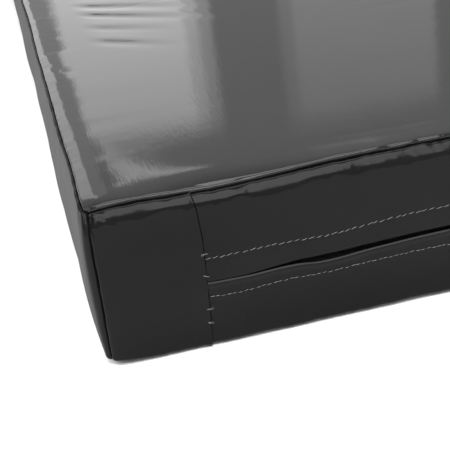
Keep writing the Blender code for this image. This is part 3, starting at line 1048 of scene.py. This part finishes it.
def strip_z(x, y):
    far = np.maximum(np.abs(y), 0.0085) * np.where(y > 0, 1.0, -1.0)
    z = top_z(x, far)
    other = top_z(x, -far)
    t = np.clip((np.abs(y)) / 0.0085, 0, 1)
    z = z * (0.5 + 0.5 * t) + other * (0.5 - 0.5 * t)
    rows = np.exp(-((np.abs(y) - 0.0275) / 0.0014) ** 2) + np.exp(-((np.abs(y) - 0.0105) / 0.0014) ** 2)
    z = z - 0.00018 * rows * (0.8 + 0.4 * noise(x / 0.004, seed=802))
    return np.minimum(z, 0.1007) + 0.0003 + 0.00012 * noise(x / 0.02, y / 0.03, seed=803)


def shell(top, under, nu, nv):
    """A thin closed sheet from its two faces, each an nu by nv grid."""
    n = nu * nv
    f1 = grid_faces(nu, nv)
    f2 = grid_faces(nu, nv, flip=True, offset=n)
    idx = np.arange(n).reshape(nu, nv)
    rim = np.concatenate((idx[:, 0], idx[-1, 1:], idx[-2::-1, -1], idx[0, -2:0:-1]))
    nxt = np.roll(rim, -1)
    f3 = np.stack((rim, nxt, nxt + n, rim + n), axis=1)
    return np.concatenate((top, under)), np.concatenate((f1, f2, f3[:, ::-1]))


STRIP_X = 0.5965
xs = graded(-STRIP_X, STRIP_X, lambda v: np.minimum(0.0008 + 0.2 * (STRIP_X - np.abs(v)), 0.0045))
ys = graded(-0.031, 0.031, lambda v: np.minimum(0.0005 + 0.2 * np.minimum(0.031 - np.abs(v), np.abs(v) * 0.5 + 0.001), 0.0016))
A, B = np.meshgrid(xs, ys, indexing="ij")
a, b = A.ravel(), B.ravel()
zs = strip_z(a, b)
rim = np.minimum(0.031 - np.abs(b), STRIP_X - np.abs(a))
half = 0.00045 * np.sqrt(1 - np.clip(1 - rim / 0.0007, 0, 1) ** 2 * 0.85)
wob = 0.0006 * fbm(a / 0.05, seed=805) * (b / 0.031)
top = np.stack((a, b + wob, zs + 0.00045 + half), axis=1)
low = np.stack((a, b + wob, zs + 0.00045 - half), axis=1)
V, F = shell(top, low, len(xs), len(ys))
strip = add("hinge_strip_sewn", V, F, VINYL_STRIP)
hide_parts("hinge_strip_a", "hinge_strip_b")
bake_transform(strip)

rows = Heap()
for yy, ph in ((-0.0275, 0.0), (-0.0105, 0.5)):
    n = int(2 * (STRIP_X - 0.006) / 0.0050)
    k = np.arange(n)
    x0 = -STRIP_X + 0.006 + (k + 0.2 * ph) * 0.0050
    u = np.linspace(0, 1, 5)
    for i in range(n):
        xx = x0[i] + 0.0035 * u
        yw = np.full(5, yy) + 0.00018 * math.sin(1.9 * i)
        zz = strip_z(xx, yw) + 0.0009 + 0.00018 * np.sin(math.pi * u)
        v, f = tube(np.stack((xx, yw, zz), axis=1), 0.00024 * np.sqrt(np.clip(1 - (2 * u - 1) ** 4, 0.05, 1)), sides=5)
        rows.put(v, f)
V, F = rows.arrays()
for ob, tag in zip(both("strip_stitches", V, F, THREAD), "ab"):
    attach(ob, "section_" + tag)


# ------------------------------------------------------------------ carry handles
STRAP_T, SZ0, SZ1 = 0.0013, 0.0615, 0.0935


def strap_y(x, z):
    """The strap's inner face: flat on the wall at its sewn ends, standing off between them."""
    t = np.clip((0.0615 - np.abs(x)) / 0.0215, 0, 1)
    w = 0.5 * (1 - np.cos(math.pi * t))
    wall = wall_point(x, z)[:, 1]
    across = (z - 0.5 * (SZ0 + SZ1)) / 0.016
    grip = Y0 - 0.0112 - 0.0005 * across ** 2 * 0
    y = wall * (1 - w) + grip * w
    return y - 0.00035 + 0.0006 * w * across ** 2


def strap_half(sign):
    us = graded(0.0, 0.110, lambda v: np.minimum(0.0006 + 0.2 * (0.110 - v), 0.0016))
    vs = graded(SZ0, SZ1, lambda v: np.minimum(0.0003 + 0.15 * np.minimum(v - SZ0, SZ1 - v), 0.0016))
    A, B = np.meshgrid(us, vs, indexing="ij")
    x, z = sign * A.ravel(), B.ravel()
    y = strap_y(x, z)
    rim = np.minimum(np.minimum(z - SZ0, SZ1 - z), 0.110 - np.abs(x))
    half = 0.5 * STRAP_T * np.sqrt(1 - np.clip(1 - rim / 0.0008, 0, 1) ** 2 * 0.8)
    # stitches pull the ends flat
    mid = y - 0.5 * STRAP_T
    z = z + 0.00025 * fbm(x / 0.03, seed=812) * np.clip(np.abs(B.ravel() - 0.0775) / 0.016, 0, 1)
    outer = np.stack((x, mid - half, z), axis=1)
    inner = np.stack((x, mid + half, z), axis=1)
    V, F = shell(outer, inner, len(us), len(vs))
    if sign < 0:
        F = F[:, ::-1]
    path = strap_y(us, np.full(us.size, 0.0775))
    return V, F, float(np.hypot(np.diff(us), np.diff(path)).sum())


for side, sign in (("left", -1), ("right", 1)):
    V, F, length = strap_half(sign)
    for ob, tag, s in zip(both("handle_strap_" + side, V, F, WEB), "ab", (1, -1)):
        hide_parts(*([f"handle_anchor_{side}_{tag}"] + ([f"handle_loop_{tag}"] if side == "left" else [])))
        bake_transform(ob)

tack = Heap()


def sew(x0, z0, x1, z1, pitch=0.0036):
    n = max(1, int(math.hypot(x1 - x0, z1 - z0) / pitch))
    for i in range(n):
        u = (i + np.linspace(0.08, 0.80, 5)) / n
        x, z = x0 + (x1 - x0) * u, z0 + (z1 - z0) * u
        y = strap_y(x, z) - STRAP_T - 0.00006 - 0.00022 * np.sin(math.pi * np.linspace(0, 1, 5))
        v, f = tube(np.stack((x, y, z), axis=1), 0.00026 * np.array([0.5, 0.95, 1, 0.95, 0.5]), sides=5, normal=(0, -1, 0))
        tack.put(v, f)


for sg in (-1, 1):
    xa, xb, za, zb = sg * 0.0690, sg * 0.1060, SZ0 + 0.0035, SZ1 - 0.0035
    for seg in ((xa, za, xb, za), (xb, za, xb, zb), (xb, zb, xa, zb), (xa, zb, xa, za), (xa, za, xb, zb), (xa, zb, xb, za)):
        sew(*seg)
V, F = tack.arrays()
for ob, tag in zip(both("handle_stitches", V, F, THREAD_DARK), "ab"):
    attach(ob, "section_" + tag)


# ------------------------------------------------------------------ zip: tapes, coil, metal
def coil_row(sgn):
    """One side of a nylon coil: a flattened helix, spread apart inside the slider."""
    pitch, per = 0.0014, 9
    turns = int(1.080 / pitch)
    th = np.arange(turns * per + 1) * (2 * math.pi / per) + (math.pi if sgn < 0 else 0.0)
    x = -0.540 + pitch * np.arange(turns * per + 1) / per
    apart = 0.0008 * np.exp(-((x - SLIDER_X) / 0.0085) ** 6)
    z = ZIP_Z + sgn * (0.00187 + apart + 0.00172 * np.cos(th) * sgn)
    y = Y0 + 0.00525 + 0.00084 * np.sin(th)
    return tube(np.stack((x, y, z), axis=1), 0.00030, sides=5, normal=(1, 0, 0.01))


for nm, sgn in (("upper", 1), ("lower", -1)):
    V, F = coil_row(sgn)
    for ob, tag in zip(both("coil_" + nm, V, F, COIL), "ab"):
        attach(ob, "section_" + tag)
        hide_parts(f"zip_coil_{nm}_{tag}")
    # tape: cloth from the coil back to the seam that holds it
    prof = [(0.0013, 0.0160), (0.0013, 0.0132), (0.0014, 0.0108), (0.0022, 0.0100), (0.0042, 0.0085), (0.0062, 0.0073),
            (0.0068, 0.0066), (0.0068, 0.0045), (0.0068, 0.0025), (0.0068, 0.0008)]
    py = np.array([q[0] for q in prof])
    pz = np.array([q[1] for q in prof])
    us = np.linspace(-0.545, 0.545, 273)
    A, B = np.meshgrid(us, np.arange(len(prof)), indexing="ij")
    a, j = A.ravel(), B.ravel()
    ty = Y0 + py[j] + 0.00012 * noise(a / 0.012, j / 3.0, seed=821)
    tz = pz[j] + 0.00015 * noise(a / 0.02, j / 3.0, seed=822) * (j > 0)
    outer = np.stack((a, ty, ZIP_Z + sgn * tz), axis=1)
    inner = np.stack((a, ty + 0.00045, ZIP_Z + sgn * (tz + 0.0002)), axis=1)
    V, F = shell(outer, inner, len(us), len(prof))
    if sgn > 0:
        F = F[:, ::-1]
    for ob, tag in zip(both("tape_" + nm, V, F, TAPE), "ab"):
        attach(ob, "section_" + tag)
        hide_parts(f"zip_tape_{nm}_{tag}")


def cast(base, cad, body, width, round_tip=False):
    """A die-cast part: the plain shape with its edges broken."""
    for tag in "ab":
        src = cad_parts[f"{cad}_{tag}"]
        bm = bmesh.new()
        bm.from_mesh(src.data)
        bm.transform(src.matrix_world)
        bmesh.ops.remove_doubles(bm, verts=bm.verts, dist=1e-6)
        bmesh.ops.dissolve_limit(bm, angle_limit=0.01, verts=bm.verts, edges=bm.edges)
        if round_tip:
            low = min(v.co.z for v in bm.verts)
            tip = [e for e in bm.edges if all(v.co.z < low + 0.0005 for v in e.verts)
                   and abs(e.verts[0].co.x - e.verts[1].co.x) < 1e-5]
            bmesh.ops.bevel(bm, geom=tip, offset=0.0030, segments=8, profile=0.5, affect="EDGES", clamp_overlap=True)
        hard = [e for e in bm.edges if len(e.link_faces) == 2 and e.calc_face_angle(0.0) > 0.6]
        bmesh.ops.bevel(bm, geom=hard, offset=width, segments=3, profile=0.5, affect="EDGES", clamp_overlap=True)
        bmesh.ops.recalc_face_normals(bm, faces=bm.faces)
        me = bpy.data.meshes.new(f"{base}_{tag}")
        bm.to_mesh(me)
        bm.free()
        me.shade_smooth()
        me.set_sharp_from_angle(angle=math.radians(42))
        me.materials.append(METAL)
        ob = bpy.data.objects.new(f"{base}_{tag}", me)
        bpy.context.scene.collection.objects.link(ob)
        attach(ob, f"{body}_{tag}")
        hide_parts(f"{cad}_{tag}")


cast("slider_cast", "zip_slider", "slider", 0.00030)
cast("slider_bail", "zip_pull_link", "slider", 0.00014)
cast("pull_tab", "zip_pull", "pull", 0.00035, round_tip=True)
cast("stop_top", "zip_top_stop", "section", 0.00025)
cast("stop_bottom", "zip_bottom_stop", "section", 0.00025)

# ------------------------------------------------------------------ floor and light
def quad(name, cx, cy, cz, sx, sy, mat):
    me = bpy.data.meshes.new(name)
    me.from_pydata([(-sx, -sy, 0), (sx, -sy, 0), (sx, sy, 0), (-sx, sy, 0)], [], [(0, 1, 2, 3)])
    me.materials.append(mat)
    ob = bpy.data.objects.new(name, me)
    ob.location = (cx, cy, cz)
    bpy.context.scene.collection.objects.link(ob)
    return ob


fm, fnt, fb = new_mat("floor_paint")
fb.inputs["Roughness"].default_value = 0.95
fb.inputs["Specular IOR Level"].default_value = 0.0
fb.inputs["Base Color"].default_value = (0.93, 0.93, 0.93, 1)
floor = quad("studio_floor", 0, 0, -0.0002, 12, 12, fm)


def area(name, loc, target, sx, sy, radiance, spread=180.0):
    ld = bpy.data.lights.new(name, "AREA")
    ld.shape = "RECTANGLE"
    ld.size, ld.size_y = sx, sy
    ld.energy = radiance * math.pi * sx * sy
    ld.spread = math.radians(spread)
    ob = bpy.data.objects.new(name, ld)
    ob.location = loc
    d = (Vector(target) - Vector(loc)).normalized()
    ob.rotation_euler = d.to_track_quat("-Z", "Y").to_euler()
    bpy.context.scene.collection.objects.link(ob)
    return ob


WALL_Y = 2.085
# two tall panels behind the mat, which its top mirrors towards the camera, and a strip light over the left one
# (each panel is a stack of three or two, so that its edges fade)


def back_panel(name, x0, x1, z0, z1, radiance, behind=0.0):
    at = ((x0 + x1) / 2, WALL_Y + behind, (z0 + z1) / 2)
    return area(name, at, (at[0], 0.0, at[2]), x1 - x0, z1 - z0, radiance)


for k, (left, right, head) in enumerate(((-0.520, 0.020, 1.048), (-0.503, -0.025, 1.036), (-0.486, -0.070, 1.022))):
    back_panel(f"panel_left_{k}", left, right, 0.13, head, 0.335, 0.004 * k)
back_panel("panel_edge", -1.31, -0.69, 0.15, 1.40, 0.96)
back_panel("panel_gap", -0.69, -0.52, 0.15, 1.40, 0.20)
back_panel("panel_right_0", 0.250, 0.81, 0.11, 1.110, 0.13)
back_panel("panel_right_1", 0.300, 0.81, 0.11, 1.060, 0.13, 0.004)
strip_lamp = area("strip", (-0.250, WALL_Y, 1.204), (-0.250, 0.0, 1.204), 0.48, 0.042, 1.9)
strip_lamp.data.shape = "ELLIPSE"
strip_lamp.rotation_euler.rotate_axis("Z", math.radians(-32))
area("front_low", (-0.5, -2.7, 0.75), (-0.5, 0.0, 0.75), 3.4, 1.2, 0.55)
# a broad soft box in front over the camera, a big one overhead, a fill at the left
area("softbox", (-0.5, -2.25, 2.2), (-0.4, -0.8, 0.0), 2.4, 1.9, 6.6)
area("overhead", (-0.3, 0.6, 3.2), (-0.3, 0.0, 0.0), 2.6, 1.6, 3.6)
area("left_fill", (-3.2, -0.6, 2.0), (-0.6, -0.5, 0.0), 2.0, 1.8, 5.0)

world = bpy.data.worlds.new("studio")
bpy.context.scene.world = world
world.use_nodes = True
wnt = world.node_tree
wb = wnt.nodes["Background"]
wdir = wnt.nodes.new("ShaderNodeTexCoord")
wsep = wnt.nodes.new("ShaderNodeSeparateXYZ")
wnt.links.new(wdir.outputs["Generated"], wsep.inputs[0])
wr = ramp(wnt, wsep.outputs["Z"], [(0.0, 0.32), (0.20, 0.34), (0.33, 0.52), (0.45, 0.60)])
wfront = ramp(wnt, math_node(wnt, "MULTIPLY", wsep.outputs["Y"], -1.0), [(0.05, 0.0), (0.45, 1.0)])
wmix = wnt.nodes.new("ShaderNodeMix")
wmix.data_type = "RGBA"
wnt.links.new(wfront.outputs["Color"], wmix.inputs["Factor"])
wnt.links.new(wr.outputs["Color"], wmix.inputs[6])
wmix.inputs[7].default_value = (0.6, 0.6, 0.6, 1)
wnt.links.new(wmix.outputs[2], wb.inputs["Color"])
wb.inputs["Strength"].default_value = 1.0

bpy.context.scene.view_settings.view_transform = "Standard"
bpy.context.scene.view_settings.look = "None"
bpy.context.scene.view_settings.exposure = 0.0
bpy.context.scene.view_settings.gamma = 1.0

bpy.context.view_layer.update()
